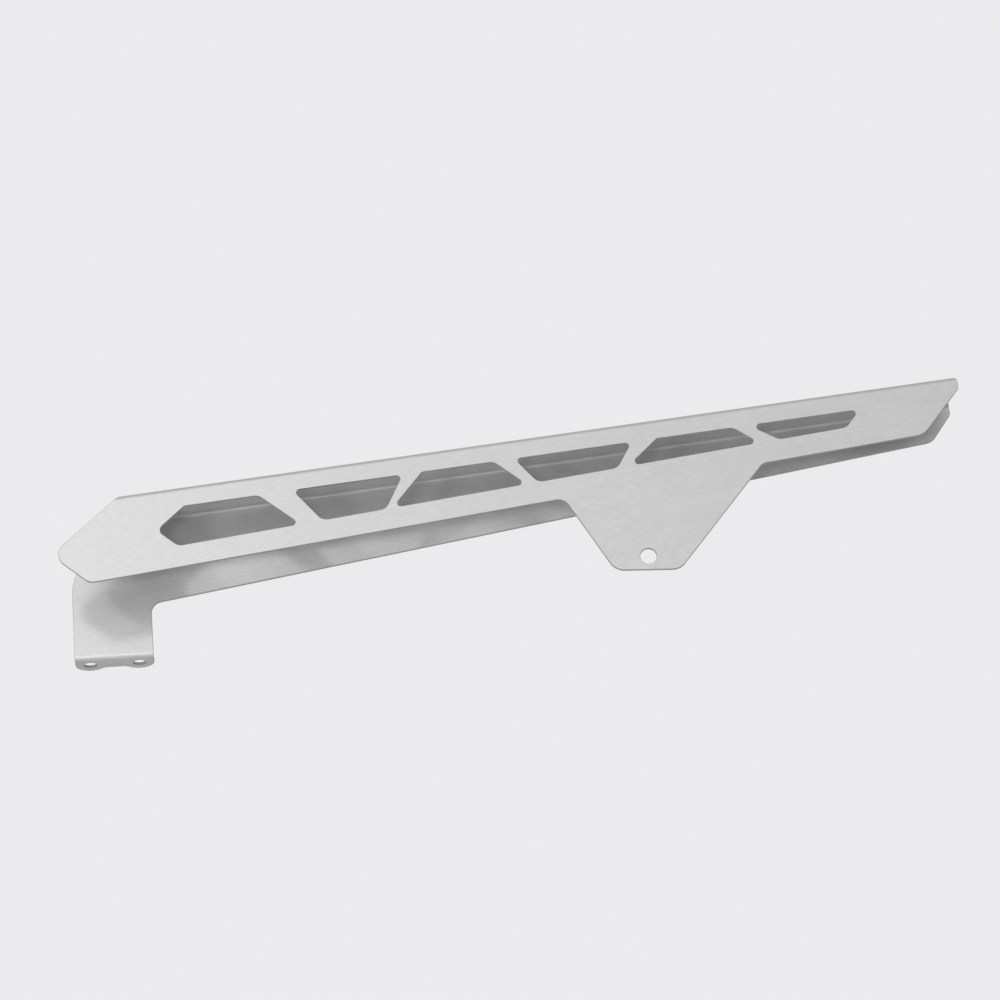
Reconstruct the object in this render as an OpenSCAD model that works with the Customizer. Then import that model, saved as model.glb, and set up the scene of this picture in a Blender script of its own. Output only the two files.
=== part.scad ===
// Motorcycle chain guard folded from one sheet: outer panel with six windows and a mounting tab,
// top panel, deeper inner panel that ends in a leg with a drilled foot flange.
// +X runs along the guard, parallel to the foot fold, from the nose to the tail.
// +Y runs from the outer panel to the inner panel, +Z up.
// The origin is the centre of the tab hole on the outer face of the outer panel.

/* [Sheet] */
// Sheet thickness
sheet_t = 1.5; // [1:0.1:2]
// Inside radius of every fold
fold_r = 1.5; // [1:0.1:2.5]

/* [Channel] */
// Overall width across both side panels
channel_w = 35; // [30:0.5:45]
// Rise of the top panel along the guard in degrees
top_angle = 5.15; // [4.5:0.05:5.8]
// Height of the top face above the tab hole, measured over the hole
top_z = 74.7; // [73:0.1:78]
// Where the top panel starts at the nose end
top_x0 = -263.8; // [-270:0.1:-258]
// Reach of both side panels at the tail end
end_x = 167; // [160:0.1:175]
// Radius of the outer top corner at the tail end
top_corner_r = 2.6; // [2.2:0.1:2.8]
// How far the flat top panel stops short of both fold ends
top_relief = 1.2; // [0.5:0.1:2]
// Radius between each tail slant and the square tail end
end_r = 4; // [2:0.5:4]

/* [Outer panel] */
// Rise of the lower edge along the guard in degrees
low_angle = 7.2; // [6.8:0.05:7.6]
// Height of the lower edge above the tab hole, measured over the hole
low_z = 39.3; // [38:0.1:40.5]
// Reach of the pointed nose before rounding
nose_x = -299.2; // [-304:0.1:-294]
// Angle of both nose edges from the X axis in degrees
nose_angle = 41; // [39:0.5:43]
// Radius of the nose point
nose_r = 7; // [5:0.5:9]
// Length of the square tail end from the top face down to the slant
end_h = 6.9; // [6.5:0.1:9]
// Angle of the tail slant in degrees
tail_angle = 50; // [46:0.5:56]
// Radius between the nose and the lower edge
nose_low_r = 7; // [4:0.5:9]
// Radius between the lower edge and the tail slant
tail_low_r = 10; // [5:0.5:12]

/* [Tab] */
// Diameter of the tab hole
tab_hole_d = 8.4; // [6.5:0.1:9]
// Depth of the tab below the hole centre, under the hole
tab_drop = 7.3; // [7:0.1:12]
// Where the lower tab edge starts
tab_x0 = -17.2; // [-19:0.1:-16]
// Length of the lower tab edge before rounding
tab_len = 32.7; // [31:0.1:35]
// Fall of the lower tab edge in degrees
tab_fall = 2.5; // [0:0.1:4]
// Slope of the nose side of the tab in degrees
tab_slope_0 = 61; // [55:0.5:66]
// Slope of the tail side of the tab in degrees
tab_slope_1 = 49.5; // [46:0.5:53]
// Radius of the lower tab corners
tab_corner_r = 8.5; // [6:0.5:10]
// Radius of the tab roots
tab_root_r = 6; // [4:0.5:8]

/* [Windows] */
// Distance from the top face to the windows
margin_top = 11.1; // [10:0.1:12]
// Distance from the lower edge to the windows
margin_low = 11.5; // [10:0.1:13]
// Radius of the sharp window corners
window_r = 1.8; // [1.5:0.1:2.2]
// Radius of the wide window corners
window_wide_r = 5.5; // [3:0.5:6]
// Point of window one before rounding
window_tip_x = -245.9; // [-248:0.1:-243]
// Radius of the point of window one
window_tip_r = 3.4; // [3:0.1:5]
// Window one, start of the upper edge
w1_top_x = -231.5; // [-233:0.1:-230]
// Window one, length of the upper edge
w1_top_len = 37.5; // [35:0.1:39]
// Window one, start of the lower edge
w1_low_x = -235.4; // [-237:0.1:-234]
// Window one, length of the lower edge
w1_low_len = 61.8; // [59:0.1:63]
// Window two, start of the upper edge
w2_top_x = -176.4; // [-178:0.1:-175]
// Window two, length of the upper edge
w2_top_len = 55.8; // [54:0.1:57]
// Window two, start of the lower edge
w2_low_x = -162.4; // [-164:0.1:-161]
// Window two, length of the lower edge
w2_low_len = 32.3; // [30:0.1:33]
// Window three, start of the upper edge
w3_top_x = -110.6; // [-112:0.1:-109]
// Window three, length of the upper edge
w3_top_len = 36.6; // [35:0.1:38]
// Window three, start of the lower edge
w3_low_x = -126.7; // [-127:0.1:-125]
// Window three, length of the lower edge
w3_low_len = 68.4; // [66:0.1:69]
// Window four, start of the upper edge
w4_top_x = -63.3; // [-65:0.1:-62]
// Window four, length of the upper edge
w4_top_len = 60.3; // [58:0.1:62]
// Window four, start of the lower edge
w4_low_x = -52.3; // [-54:0.1:-51]
// Window four, length of the lower edge
w4_low_len = 40.9; // [39:0.1:42]
// Window five, start of the upper edge
w5_top_x = 10; // [8.5:0.1:11.5]
// Window five, length of the upper edge
w5_top_len = 39.3; // [38:0.1:40]
// Window five, start of the lower edge
w5_low_x = -5.7; // [-7:0.1:-4]
// Window five, length of the lower edge
w5_low_len = 67.7; // [66:0.1:69]
// Window six, start of the upper edge
w6_top_x = 57.7; // [56.5:0.1:59]
// Window six, length of the upper edge
w6_top_len = 57.5; // [56:0.1:59]
// Window six, start of the lower edge
w6_low_x = 72.5; // [71:0.1:74]
// Window six, length of the lower edge
w6_low_len = 34.9; // [33:0.1:36]

/* [Inner panel] */
// Rise of the inner lower edge in degrees
inner_angle = 8.9; // [8.6:0.05:9.2]
// Height of the inner lower edge above the tab hole, measured over the hole
inner_z = 43.8; // [42.5:0.1:45]
// Length of the inner square tail end from the top face down to the slant
inner_end_h = 6.3; // [6:0.1:7.5]
// Angle of the inner tail slant in degrees
inner_tail_angle = 53.5; // [48:0.5:60]
// Radius where the inner lower edge turns into its tail slant
inner_tail_r = 8; // [5:0.5:10]

/* [Leg and foot] */
// Position of the nose side edge of the leg
leg_x = -291.3; // [-293:0.1:-289.5]
// Slope of the shoulder from the top panel to the leg in degrees
shoulder_angle = 45; // [43:0.5:49]
// Radius where the shoulder turns into the leg
shoulder_r = 28; // [20:1:32]
// Radius between the leg and the inner lower edge
leg_fillet_r = 6; // [4:0.5:8]
// Depth of the foot underside below the tab hole
foot_drop = 24.4; // [20:0.1:40]
// Diameter of the foot holes
foot_hole_d = 6.5; // [5:0.1:7]
// Distance between the foot holes
foot_pitch = 24.8; // [23:0.1:27]
// Radius of the flange lobe around each foot hole
lobe_r = 7.5; // [6.5:0.1:8]
// Clear distance from the fold to the foot hole centres
foot_hole_y = 4.5; // [4:0.1:8]
// Depth of the scallop between the lobes
scallop = 3.5; // [2:0.1:4]
// Radius at the bottom of the scallop
scallop_r = 5; // [3:0.5:6]

/* [Hidden] */
$fn = 64;
cut = 1;
corner_over = 0.4;
blank_over = 40;
fold_out_r = fold_r + sheet_t;
flank = top_z + foot_drop + blank_over;
leg_w = foot_pitch + 2 * lobe_r;
inner_mid_y = channel_w - sheet_t / 2;
fold_end_y = channel_w + fold_r;
hole_y = fold_end_y + foot_hole_y;
reach_y = hole_y + lobe_r;
scallop_angle = 40;
wide_below = [window_r, window_wide_r, window_wide_r, window_r];
wide_above = [window_r, window_r, window_r, window_wide_r];

// Height of each straight edge at a place along the guard
function top_at(x) = top_z + x * tan(top_angle);
function low_at(x) = low_z + x * tan(low_angle);
function inner_at(x) = inner_z + x * tan(inner_angle);
function window_top_at(x) = top_at(x) - margin_top / cos(top_angle);
function window_low_at(x) = low_at(x) + margin_low / cos(low_angle);

// Point square to the top panel, the given distance above its face
function above_top(x, rise) = [x - rise * sin(top_angle), top_at(x) + rise * cos(top_angle), 0];

// Where two lines cross, each given by a point and its slope angle
function cross_x(p, pa, q, qa) =
    (q[1] - p[1] + p[0] * tan(pa) - q[0] * tan(qa)) / (tan(pa) - tan(qa));
function cross_at(p, pa, q, qa, r) =
    let (x = cross_x(p, pa, q, qa))
    [x, p[1] + (x - p[0]) * tan(pa), r];

// Turns each [x, y, radius] corner into a tangent arc
function flat(p) = [p[0], p[1]];
function unit(v) = v / norm(v);
function turn_to(a, b) = (b - a + 540) % 360 - 180;
function arc_points(p, u, v, r) =
    let (
        half = acos(u * v) / 2,
        c = p + unit(u + v) * r / sin(half),
        s = p + u * r / tan(half) - c,
        e = p + v * r / tan(half) - c,
        a = atan2(s[1], s[0]),
        sweep = turn_to(a, atan2(e[1], e[0])),
        n = max(3, ceil(abs(sweep) / 9))
    )
    [for (i = [0:n]) c + r * [cos(a + sweep * i / n), sin(a + sweep * i / n)]];
function corner_points(a, p, b) =
    p[2] == 0 ? [flat(p)]
    : arc_points(flat(p), unit(flat(a) - flat(p)), unit(flat(b) - flat(p)), p[2]);
function rounded(pts) =
    let (n = len(pts))
    [for (i = [0:n - 1]) each corner_points(pts[(i + n - 1) % n], pts[i], pts[(i + 1) % n])];

// Corners of the outer panel
nose_top = [top_x0, top_at(top_x0), 0];
nose_over = [top_x0 + cut / tan(nose_angle), nose_top[1] + cut, 0];
nose_tip = [nose_x, nose_top[1] - (top_x0 - nose_x) * tan(nose_angle), nose_r];
nose_low = cross_at(nose_tip, -nose_angle, [0, low_z], low_angle, nose_low_r);
outer_end = concat(flat(above_top(end_x, -end_h)), [end_r]);
tail_low = cross_at(outer_end, tail_angle, [0, low_z], low_angle, tail_low_r);
tab_low_0 = [tab_x0, -tab_drop - tab_x0 * tan(tab_fall), tab_corner_r];
tab_low_1 = [tab_x0 + tab_len, -tab_drop - (tab_x0 + tab_len) * tan(tab_fall), tab_corner_r];
tab_root_0 = cross_at(tab_low_0, -tab_slope_0, [0, low_z], low_angle, tab_root_r);
tab_root_1 = cross_at(tab_low_1, tab_slope_1, [0, low_z], low_angle, tab_root_r);
top_x1 = end_x - top_corner_r;
top_corner = concat(flat(above_top(end_x, corner_over)), [top_corner_r + corner_over]);

// Corners of the inner panel
shoulder_over = [top_x0 + cut / tan(shoulder_angle), nose_top[1] + cut, 0];
shoulder = [leg_x, nose_top[1] - (top_x0 - leg_x) * tan(shoulder_angle), shoulder_r];
leg_foot_z = fold_out_r - foot_drop;
inner_end = concat(flat(above_top(end_x, -inner_end_h)), [end_r]);
inner_low = cross_at(inner_end, inner_tail_angle, [0, inner_z], inner_angle, inner_tail_r);

module outer_outline() {
    polygon(rounded([
        nose_over,
        nose_tip,
        nose_low,
        tab_root_0,
        tab_low_0,
        tab_low_1,
        tab_root_1,
        tail_low,
        outer_end,
        top_corner,
        above_top(top_x0 + cut, corner_over)
    ]));
}

module inner_outline() {
    polygon(rounded([
        shoulder_over,
        shoulder,
        [leg_x, leg_foot_z + cut, 0],
        [leg_x + leg_w, leg_foot_z + cut, 0],
        [leg_x + leg_w, inner_at(leg_x + leg_w), leg_fillet_r],
        inner_low,
        inner_end,
        above_top(end_x, cut)
    ]));
}

module top_outline() {
    polygon(rounded([
        above_top(top_x0 + top_relief, cut),
        above_top(top_x0 + top_relief, -fold_out_r),
        above_top(top_x1 - top_relief, -fold_out_r),
        above_top(top_x1 - top_relief, cut)
    ]));
}

// Outline drawn in X and Z made solid between two places along Y
module between(y0, y1) {
    translate([0, y1, 0])
        rotate([90, 0, 0])
            linear_extrude(height = y1 - y0)
                children();
}

// Window with its corner radii listed from the top start round by the lower edge
module window(top_x, top_len, low_x, low_len, radii) {
    polygon(rounded([
        [top_x, window_top_at(top_x), radii[0]],
        [low_x, window_low_at(low_x), radii[1]],
        [low_x + low_len, window_low_at(low_x + low_len), radii[2]],
        [top_x + top_len, window_top_at(top_x + top_len), radii[3]]
    ]));
}

module pointed_window(tip_x, top_x, top_len, low_x, low_len) {
    tip_z = window_top_at(top_x) - (top_x - tip_x) * tan(nose_angle);
    polygon(rounded([
        [top_x, window_top_at(top_x), window_r],
        [tip_x, tip_z, window_tip_r],
        [low_x, window_low_at(low_x), window_wide_r],
        [low_x + low_len, window_low_at(low_x + low_len), window_r],
        [top_x + top_len, window_top_at(top_x + top_len), window_wide_r]
    ]));
}

module windows() {
    pointed_window(window_tip_x, w1_top_x, w1_top_len, w1_low_x, w1_low_len);
    window(w2_top_x, w2_top_len, w2_low_x, w2_low_len, wide_below);
    window(w3_top_x, w3_top_len, w3_low_x, w3_low_len, wide_above);
    window(w4_top_x, w4_top_len, w4_low_x, w4_low_len, wide_below);
    window(w5_top_x, w5_top_len, w5_low_x, w5_low_len, wide_above);
    window(w6_top_x, w6_top_len, w6_low_x, w6_low_len, wide_below);
}

// Quarter ring of a fold, drawn up and to the left of its centre
module fold_section() {
    intersection() {
        difference() {
            circle(r = fold_out_r);
            circle(r = fold_r);
        }
        translate([-fold_out_r - cut, 0])
            square([fold_out_r + cut, fold_out_r + cut]);
    }
}

// Section of the channel with its top face on the axis
module channel_section() {
    translate([0, -flank])
        square([sheet_t, flank - fold_out_r]);
    translate([fold_out_r, -fold_out_r])
        fold_section();
    translate([fold_out_r, -sheet_t])
        square([channel_w - 2 * fold_out_r, sheet_t]);
    translate([channel_w - fold_out_r, -fold_out_r])
        mirror([1, 0])
            fold_section();
    translate([channel_w - sheet_t, -flank])
        square([sheet_t, flank - fold_out_r]);
}

// Straight folded channel that the outlines are cut from, turned at the middle of the inner sheet
module channel_blank() {
    translate([0, inner_mid_y, top_z])
        rotate([0, -top_angle, 0])
            translate([nose_x - blank_over, -inner_mid_y, 0])
                rotate([90, 0, 90])
                    linear_extrude(height = end_x - nose_x + 2 * blank_over)
                        channel_section();
}

module foot_outline() {
    mid = leg_x + leg_w / 2;
    lobe_x = foot_pitch / 2 - lobe_r * tan(scallop_angle / 2);
    dip_x = lobe_x - scallop / tan(scallop_angle);
    polygon(rounded([
        [mid - leg_w / 2, channel_w - fold_out_r, 0],
        [mid + leg_w / 2, channel_w - fold_out_r, 0],
        [mid + leg_w / 2, reach_y, lobe_r],
        [mid + lobe_x, reach_y, lobe_r],
        [mid + dip_x, reach_y - scallop, scallop_r],
        [mid - dip_x, reach_y - scallop, scallop_r],
        [mid - lobe_x, reach_y, lobe_r],
        [mid - leg_w / 2, reach_y, lobe_r]
    ]));
}

module foot_holes() {
    for (side = [-1, 1])
        translate([leg_x + leg_w / 2 + side * foot_pitch / 2, hole_y, -foot_drop - cut])
            cylinder(d = foot_hole_d, h = sheet_t + 2 * cut);
}

// Section of the leg's lower end, the fold that turns it out and the foot
module foot_section() {
    translate([channel_w - sheet_t, leg_foot_z])
        square([sheet_t, 2 * cut]);
    translate([fold_end_y, leg_foot_z])
        mirror([0, 1])
            fold_section();
    translate([fold_end_y, -foot_drop])
        square([reach_y - fold_end_y + cut, sheet_t]);
}

module foot() {
    difference() {
        intersection() {
            translate([leg_x - cut, 0, 0])
                rotate([90, 0, 90])
                    linear_extrude(height = leg_w + 2 * cut)
                        foot_section();
            translate([0, 0, -foot_drop - cut])
                linear_extrude(height = fold_out_r + 4 * cut)
                    foot_outline();
        }
        foot_holes();
    }
}

module chain_guard() {
    color("silver") {
        difference() {
            intersection() {
                channel_blank();
                union() {
                    between(-cut, fold_out_r)
                        outer_outline();
                    between(fold_out_r, channel_w - fold_out_r)
                        top_outline();
                    between(channel_w - fold_out_r, channel_w + cut)
                        inner_outline();
                }
            }
            between(-cut, channel_w / 2)
                windows();
            translate([0, channel_w / 2, 0])
                rotate([90, 0, 0])
                    cylinder(d = tab_hole_d, h = channel_w / 2 + cut);
        }
        foot();
    }
}

chain_guard();
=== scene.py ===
import bmesh
import bpy
import math
from mathutils import Matrix, Vector


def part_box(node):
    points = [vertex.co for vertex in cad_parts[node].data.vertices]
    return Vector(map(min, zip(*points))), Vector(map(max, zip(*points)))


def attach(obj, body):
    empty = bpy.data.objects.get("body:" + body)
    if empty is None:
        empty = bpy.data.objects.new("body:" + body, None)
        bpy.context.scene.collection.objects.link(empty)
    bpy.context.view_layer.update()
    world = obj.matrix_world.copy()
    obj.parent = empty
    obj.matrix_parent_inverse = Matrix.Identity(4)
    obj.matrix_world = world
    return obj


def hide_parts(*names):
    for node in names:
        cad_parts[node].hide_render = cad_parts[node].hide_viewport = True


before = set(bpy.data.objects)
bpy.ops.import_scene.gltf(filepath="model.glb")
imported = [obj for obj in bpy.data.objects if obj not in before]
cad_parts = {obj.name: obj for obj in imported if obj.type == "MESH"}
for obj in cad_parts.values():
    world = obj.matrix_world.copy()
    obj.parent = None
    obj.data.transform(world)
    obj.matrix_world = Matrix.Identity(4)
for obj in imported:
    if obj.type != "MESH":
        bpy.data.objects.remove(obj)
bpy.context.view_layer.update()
print("stage: frame loaded", sorted(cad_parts))


# camera at the photograph's viewing angle, low and looking up along the guard
cameraSetup = {
    "place": (-0.1762093, -1.8530828, -0.7678287),
    "right": (0.996882, -0.023378, -0.075364),
    "forward": (0.051510, 0.916328, 0.397101),
    "lens": 144.0,
    "sensor": 36.0,
    "shift": (-0.0005, 0.0005),
    "nearest": 0.01,
    "farthest": 50.0,
}


def makeCamera(setup):
    forward = Vector(setup["forward"]).normalized()
    right = Vector(setup["right"])
    right = (right - forward * right.dot(forward)).normalized()
    up = right.cross(forward)
    data = bpy.data.cameras.new("camera")
    data.lens = setup["lens"]
    data.sensor_width = setup["sensor"]
    data.shift_x, data.shift_y = setup["shift"]
    data.clip_start = setup["nearest"]
    data.clip_end = setup["farthest"]
    camera = bpy.data.objects.new("camera", data)
    bpy.context.scene.collection.objects.link(camera)
    turn = Matrix((right, up, -forward)).transposed().to_4x4()
    camera.matrix_world = Matrix.Translation(setup["place"]) @ turn
    bpy.context.scene.camera = camera


# plain soft studio: an even pale surround, a pale floor well below, and four gentle round lamps;
# in degrees, a lamp's turn is 0 straight in front and less to the left, and its rise is upwards
studioSetup = {
    "surround": (0.831, 0.831, 0.847),
    "surroundStrength": 1.0,
    "floorColor": (0.68, 0.68, 0.69),
    "floorRoughness": 0.9,
    "floorHeight": -1.5,
    "floorSize": 24.0,
    "aim": (-0.06, 0.0, 0.03),
    "lampDistance": 2.4,
    "lampSize": 0.36,
    "lamps": [
        {"name": "sideLamp", "turn": -40, "rise": 14, "watts": 7.5},
        {"name": "lowSideLamp", "turn": -38, "rise": -20, "watts": 10.0},
        {"name": "lowLamp", "turn": -12, "rise": -20, "watts": 8.0},
        {"name": "keyLamp", "turn": -21, "rise": 28, "watts": 5.4},
    ],
}


def makeSurround(setup):
    world = bpy.data.worlds.new("surround")
    bpy.context.scene.world = world
    world.use_nodes = True
    background = world.node_tree.nodes["Background"]
    background.inputs["Color"].default_value = (*setup["surround"], 1)
    background.inputs["Strength"].default_value = setup["surroundStrength"]


def makeFloor(setup):
    mesh = bmesh.new()
    bmesh.ops.create_grid(mesh, x_segments=1, y_segments=1, size=setup["floorSize"] / 2)
    bmesh.ops.translate(mesh, verts=mesh.verts, vec=(0, 0, setup["floorHeight"]))
    data = bpy.data.meshes.new("floor")
    mesh.to_mesh(data)
    mesh.free()
    floor = bpy.data.objects.new("floor", data)
    bpy.context.scene.collection.objects.link(floor)
    floorPaint = bpy.data.materials.new("floorPaint")
    floorPaint.use_nodes = True
    paint = floorPaint.node_tree.nodes["Principled BSDF"]
    paint.inputs["Base Color"].default_value = (*setup["floorColor"], 1)
    paint.inputs["Roughness"].default_value = setup["floorRoughness"]
    data.materials.append(floorPaint)


def makeLamp(setup, lamp):
    turn = math.radians(lamp["turn"])
    rise = math.radians(lamp["rise"])
    level = math.cos(rise)
    away = Vector((math.sin(turn) * level, -math.cos(turn) * level, math.sin(rise)))
    light = bpy.data.lights.new(lamp["name"], "AREA")
    light.shape = "DISK"
    light.size = setup["lampSize"]
    light.energy = lamp["watts"]
    holder = bpy.data.objects.new(lamp["name"], light)
    bpy.context.scene.collection.objects.link(holder)
    place = Vector(setup["aim"]) + away * setup["lampDistance"]
    facing = away.to_track_quat("Z", "Y").to_matrix().to_4x4()
    holder.matrix_world = Matrix.Translation(place) @ facing


def makeStudio(setup):
    bpy.context.scene.view_settings.view_transform = "Standard"
    makeSurround(setup)
    makeFloor(setup)
    for lamp in setup["lamps"]:
        makeLamp(setup, lamp)


def addNode(tree, kind, place, **values):
    node = tree.nodes.new(kind)
    node.location = place
    for name, value in values.items():
        setattr(node, name, value)
    return node


def addMath(tree, operation, place, first, second):
    node = addNode(tree, "ShaderNodeMath", place, operation=operation)
    for slot, value in enumerate((first, second)):
        if isinstance(value, float):
            node.inputs[slot].default_value = value
        else:
            tree.links.new(value, node.inputs[slot])
    return node.outputs[0]


def addRange(tree, place, source, fromRange, toRange, **values):
    node = addNode(tree, "ShaderNodeMapRange", place, **values)
    ends = ("From Min", "From Max", "To Min", "To Max")
    for name, value in zip(ends, (*fromRange, *toRange)):
        node.inputs[name].default_value = value
    tree.links.new(source, node.inputs["Value"])
    return node.outputs["Result"]


def addSockets(group, inputs, outputs):
    sockets = group.interface
    number = "NodeSocketFloat"
    sockets.new_socket(name="Position", in_out="INPUT", socket_type="NodeSocketVector")
    for name, value in inputs.items():
        socket = sockets.new_socket(name=name, in_out="INPUT", socket_type=number)
        socket.default_value = value
    for name in outputs:
        sockets.new_socket(name=name, in_out="OUTPUT", socket_type=number)
    start = addNode(group, "NodeGroupInput", (-1000, 0))
    end = addNode(group, "NodeGroupOutput", (700, 0))
    return start, end


wholeRange = (0.0, 1.0)
noiseRange = (0.3, 0.7)  # nearly all of the noise lies between these

# sizes come in mm; a rate is how many times finer than its size a pattern is, along or across
grainSetup = {
    "perMetre": 1000.0,
    "noiseRoughness": 0.6,
    "lines": {"alongRate": 1.0, "acrossRate": 1.0, "detail": 4.0},
    "hairlines": {"alongRate": 0.2, "acrossRate": 2.0, "detail": 1.0},
    "hairlineRange": (0.66, 0.78),
    "patches": {"alongRate": 0.4, "acrossRate": 1.0, "detail": 2.0},
}


# fine lines rubbed along the sheet, a few deeper hairlines, and slow patches where the belt
# pressed harder
def makeGrainGroup(setup):
    group = bpy.data.node_groups.new("brushedGrain", "ShaderNodeTree")
    sizes = {"Line Length": 10.0, "Line Width": 0.4, "Patch Size": 18.0}
    start, end = addSockets(group, sizes, ("Lines", "Hairlines", "Patches"))
    links = group.links

    def repeats(place, size, rate):
        return addMath(group, "DIVIDE", place, setup["perMetre"] * rate, start.outputs[size])

    def pattern(height, sizeAlong, sizeAcross, kind):
        along = repeats((-780, height), sizeAlong, kind["alongRate"])
        across = repeats((-780, height - 160), sizeAcross, kind["acrossRate"])
        stretch = addNode(group, "ShaderNodeCombineXYZ", (-560, height))
        links.new(along, stretch.inputs["X"])
        links.new(across, stretch.inputs["Y"])
        links.new(across, stretch.inputs["Z"])
        scaled = addNode(group, "ShaderNodeVectorMath", (-380, height), operation="MULTIPLY")
        links.new(start.outputs["Position"], scaled.inputs[0])
        links.new(stretch.outputs[0], scaled.inputs[1])
        noise = addNode(group, "ShaderNodeTexNoise", (-200, height))
        noise.inputs["Scale"].default_value = 1.0
        noise.inputs["Detail"].default_value = kind["detail"]
        noise.inputs["Roughness"].default_value = setup["noiseRoughness"]
        links.new(scaled.outputs[0], noise.inputs["Vector"])
        return noise.outputs["Fac"]

    lines = pattern(260, "Line Length", "Line Width", setup["lines"])
    links.new(lines, end.inputs["Lines"])
    hair = pattern(-60, "Line Length", "Line Width", setup["hairlines"])
    smooth = {"interpolation_type": "SMOOTHSTEP"}
    hairlines = addRange(group, (100, -60), hair, setup["hairlineRange"], wholeRange, **smooth)
    links.new(hairlines, end.inputs["Hairlines"])
    patches = pattern(-380, "Patch Size", "Patch Size", setup["patches"])
    links.new(patches, end.inputs["Patches"])
    return group


# the guard as the CAD folds it, in metres and degrees
foldedShape = {
    "topAngle": 5.15,  # the top panel climbs towards the tail
    "topHeight": 0.0744,  # from the origin to the top face, square to the face
    "channelWidth": 0.035,  # over both panels
    "foldOutside": 0.003,  # outer radius of the long folds
    "skin": 0.0013,  # a little less than the sheet's thickness
}


# how close a place is to the two long folds, where the bend stretched and dulled the brushing,
# and which of it lies on their inside; the metal also paints shade with both, darker along the
# folds and darker still on their inside
def makeFoldGroup(shape):
    group = bpy.data.node_groups.new("foldStretchAndShade", "ShaderNodeTree")
    sizes = {
        "Top Height": shape["topHeight"],
        "Channel Width": shape["channelWidth"],
        "Reach": shape["foldOutside"],
        "Skin": shape["skin"],
    }
    start, end = addSockets(group, sizes, ("Stretch And Shade", "Corner Shade"))
    links = group.links
    axes = addNode(group, "ShaderNodeSeparateXYZ", (-820, 0))
    links.new(start.outputs["Position"], axes.inputs[0])
    across = axes.outputs["Y"]
    width = start.outputs["Channel Width"]
    top = start.outputs["Top Height"]
    fromInner = addMath(group, "SUBTRACT", (-620, 120), width, across)
    fromSide = addMath(group, "MINIMUM", (-440, 60), across, fromInner)
    fromTop = addMath(group, "SUBTRACT", (-620, -120), top, axes.outputs["Z"])
    fromFold = addMath(group, "MAXIMUM", (-260, 0), fromSide, fromTop)
    share = addMath(group, "DIVIDE", (-80, 0), fromFold, start.outputs["Reach"])
    near = addMath(group, "SUBTRACT", (100, 0), 1.0, share)
    stretch = addNode(group, "ShaderNodeClamp", (280, 0))
    links.new(near, stretch.inputs["Value"])
    links.new(stretch.outputs[0], end.inputs["Stretch And Shade"])
    depth = addMath(group, "MINIMUM", (-260, -260), fromSide, fromTop)
    inside = addMath(group, "GREATER_THAN", (-80, -260), depth, start.outputs["Skin"])
    corner = addMath(group, "MULTIPLY", (460, -160), stretch.outputs[0], inside)
    links.new(corner, end.inputs["Corner Shade"])
    return group


def around(contrast):
    return 1.0 - contrast, 1.0 + contrast


def downBy(depth):
    return 1.0, 1.0 - depth


def makeMetal(name, setup, groups):
    material = bpy.data.materials.new(name)
    material.use_nodes = True
    tree = material.node_tree
    links = tree.links
    shader = tree.nodes["Principled BSDF"]
    shader.inputs["Metallic"].default_value = setup["metallic"]

    place = addNode(tree, "ShaderNodeTexCoord", (-1700, 0))
    turn = addNode(tree, "ShaderNodeMapping", (-1520, 0))
    turn.inputs["Rotation"].default_value = [math.radians(angle) for angle in setup["grainTurn"]]
    links.new(place.outputs["Object"], turn.inputs["Vector"])
    grain = addNode(tree, "ShaderNodeGroup", (-1320, 0), node_tree=groups["grain"])
    grain.inputs["Line Length"].default_value = setup["lineLength"]
    grain.inputs["Line Width"].default_value = setup["lineWidth"]
    grain.inputs["Patch Size"].default_value = setup["patchSize"]
    links.new(turn.outputs["Vector"], grain.inputs["Position"])
    lines = grain.outputs["Lines"]
    patches = grain.outputs["Patches"]

    lineTone = addRange(tree, (-1080, 260), lines, noiseRange, around(setup["lineContrast"]))
    patchTone = addRange(tree, (-1080, 0), patches, noiseRange, around(setup["patchContrast"]))
    hairDepth = downBy(setup["hairDepth"])
    hairTone = addRange(tree, (-1080, -240), grain.outputs["Hairlines"], wholeRange, hairDepth)
    tone = addMath(tree, "MULTIPLY", (-860, 140), lineTone, patchTone)
    tone = addMath(tree, "MULTIPLY", (-680, 80), tone, hairTone)
    roughness = addRange(tree, (-860, -420), patches, noiseRange, setup["roughness"])

    # painted shade: the colour is darker along the long folds and darker still on their inside;
    # the folds are also made rougher
    foldSettings = setup["foldShadeAndDulling"]
    if foldSettings:
        fold = addNode(tree, "ShaderNodeGroup", (-1320, -520), node_tree=groups["fold"])
        links.new(turn.outputs["Vector"], fold.inputs["Position"])
        stretch = fold.outputs["Stretch And Shade"]
        corner = fold.outputs["Corner Shade"]
        foldShadeTone = addRange(tree, (-1080, -520), stretch, wholeRange, downBy(foldSettings["paintedFoldShade"]))
        tone = addMath(tree, "MULTIPLY", (-500, 20), tone, foldShadeTone)
        cornerTone = addRange(tree, (-1080, -1000), corner, wholeRange, downBy(foldSettings["corner"]))
        tone = addMath(tree, "MULTIPLY", (-500, -200), tone, cornerTone)
        foldDull = addRange(tree, (-1080, -760), stretch, wholeRange, (0.0, foldSettings["dulling"]))
        roughness = addMath(tree, "ADD", (-500, -480), roughness, foldDull)

    color = addNode(tree, "ShaderNodeVectorMath", (-320, 120), operation="SCALE")
    color.inputs[0].default_value = setup["color"]
    links.new(tone, color.inputs["Scale"])
    links.new(color.outputs[0], shader.inputs["Base Color"])
    links.new(roughness, shader.inputs["Roughness"])

    bump = addNode(tree, "ShaderNodeBump", (-320, -320))
    bump.inputs["Strength"].default_value = setup["bump"]
    bump.inputs["Distance"].default_value = setup["bumpHeight"]
    links.new(lines, bump.inputs["Height"])
    links.new(bump.outputs["Normal"], shader.inputs["Normal"])
    return material


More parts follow.
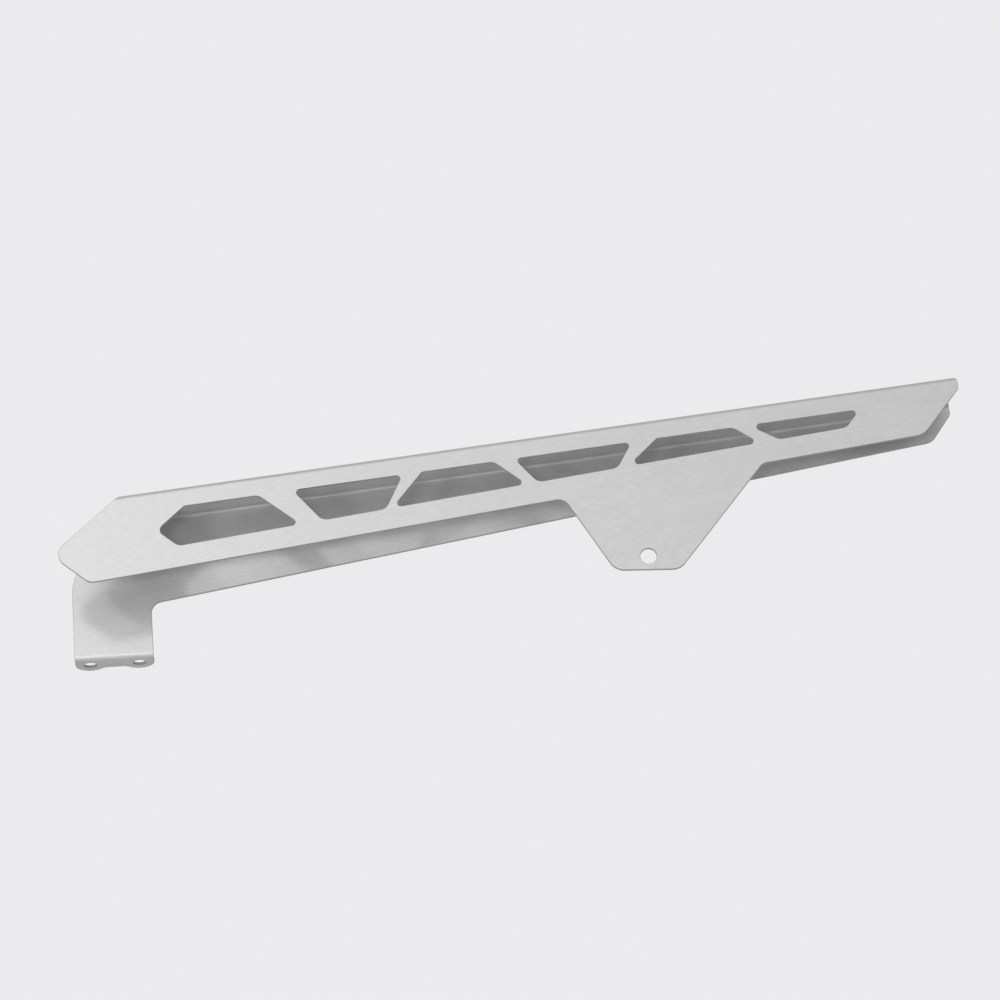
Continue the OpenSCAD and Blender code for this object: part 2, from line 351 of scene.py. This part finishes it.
# the whole guard: one folded sheet with broken edges, brushed faces and plain cut edges;
# lengths in metres and angles in degrees, but the sizes of the grain in mm
sheetSetup = {
    "square": 0.02,  # a face whose normal leans less than this from square counts as square
    "flat": 0.1,  # the CAD's triangles that lean less than this become one face
    "edgeBreak": 0.00025,
    "edgeSegments": 2,
    "edgeAngle": 35,
    "samePoint": 0.000002,
    "largeFacesFirst": 100,
    "faceSlot": 0,
    "cutSlot": 1,
    "faces": {
        "color": (0.58, 0.58, 0.571),
        "metallic": 1.0,
        "roughness": (0.52, 0.58),
        "grainTurn": (0, foldedShape["topAngle"], 0),
        "lineLength": 5.0,
        "lineWidth": 0.6,
        "lineContrast": 0.07,
        "hairDepth": 0.06,
        "patchSize": 10.0,
        "patchContrast": 0.025,
        # painted shade along the folds and on their inside, and rougher folds
        "foldShadeAndDulling": {"paintedFoldShade": 0.3, "corner": 0.4, "dulling": 0.2},
        "bump": 0.15,
        "bumpHeight": 0.00002,
    },
    "cutEdges": {
        # darker than the faces: partly the oxide of the cut metal, partly painted shade that
        # draws a dark outline along every cut and broken edge
        "color": (0.42, 0.42, 0.414),
        "metallic": 1.0,
        "roughness": (0.72, 0.84),
        "grainTurn": (0, 0, 90),
        "lineLength": 1.5,
        "lineWidth": 0.25,
        "lineContrast": 0.12,
        "hairDepth": 0.1,
        "patchSize": 12.0,
        "patchContrast": 0.08,
        "foldShadeAndDulling": None,
        "bump": 0.25,
        "bumpHeight": 0.00002,
    },
}


# a cut face stands square to the sheet that it ends: its normal has no share along Y on the three
# panels, unless it is the top panel itself, and none along Z on the foot
def markCutFaces(mesh, setup, shape):
    lean = math.radians(shape["topAngle"])
    topNormal = Vector((-math.sin(lean), 0, math.cos(lean)))
    fold = shape["foldOutside"]
    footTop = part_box("chain_guard")[0].z + fold
    for face in mesh.faces:
        middle = face.calc_center_median()
        if middle.z < footTop:
            cut = abs(face.normal.z) < setup["square"]
        else:
            level = abs(face.normal.dot(topNormal)) > 1 - setup["square"] ** 2
            onTop = level and fold < middle.y < shape["channelWidth"] - fold
            cut = abs(face.normal.y) < setup["square"] and not onTop
        face.material_index = setup["cutSlot"] if cut else setup["faceSlot"]
        face.smooth = True


def makeSheet(setup, shape, groups):
    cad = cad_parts["chain_guard"]
    data = bpy.data.meshes.new("foldedSheet")
    mesh = bmesh.new()
    mesh.from_mesh(cad.data)
    bmesh.ops.remove_doubles(mesh, verts=mesh.verts, dist=setup["samePoint"])
    flat = math.radians(setup["flat"])
    bmesh.ops.dissolve_limit(mesh, angle_limit=flat, verts=mesh.verts, edges=mesh.edges)
    mesh.normal_update()
    markCutFaces(mesh, setup, shape)
    mesh.to_mesh(data)
    mesh.free()
    sheet = bpy.data.objects.new("foldedSheet", data)
    bpy.context.scene.collection.objects.link(sheet)
    data.materials.append(makeMetal("brushedFaces", setup["faces"], groups))
    data.materials.append(makeMetal("cutEdges", setup["cutEdges"], groups))
    breakEdges = sheet.modifiers.new("brokenEdges", "BEVEL")
    breakEdges.width = setup["edgeBreak"]
    breakEdges.segments = setup["edgeSegments"]
    breakEdges.limit_method = "ANGLE"
    breakEdges.angle_limit = math.radians(setup["edgeAngle"])
    breakEdges.use_clamp_overlap = False
    breakEdges.material = setup["cutSlot"]
    joinPoints = sheet.modifiers.new("joinPoints", "WELD")
    joinPoints.merge_threshold = setup["samePoint"]
    evenNormals = sheet.modifiers.new("evenNormals", "WEIGHTED_NORMAL")
    evenNormals.weight = setup["largeFacesFirst"]
    evenNormals.keep_sharp = True
    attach(sheet, "root")
    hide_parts("chain_guard")


makeCamera(cameraSetup)
makeStudio(studioSetup)
print("stage: camera and studio ready")
groups = {"grain": makeGrainGroup(grainSetup), "fold": makeFoldGroup(foldedShape)}
makeSheet(sheetSetup, foldedShape, groups)
print("stage: sheet dressed")
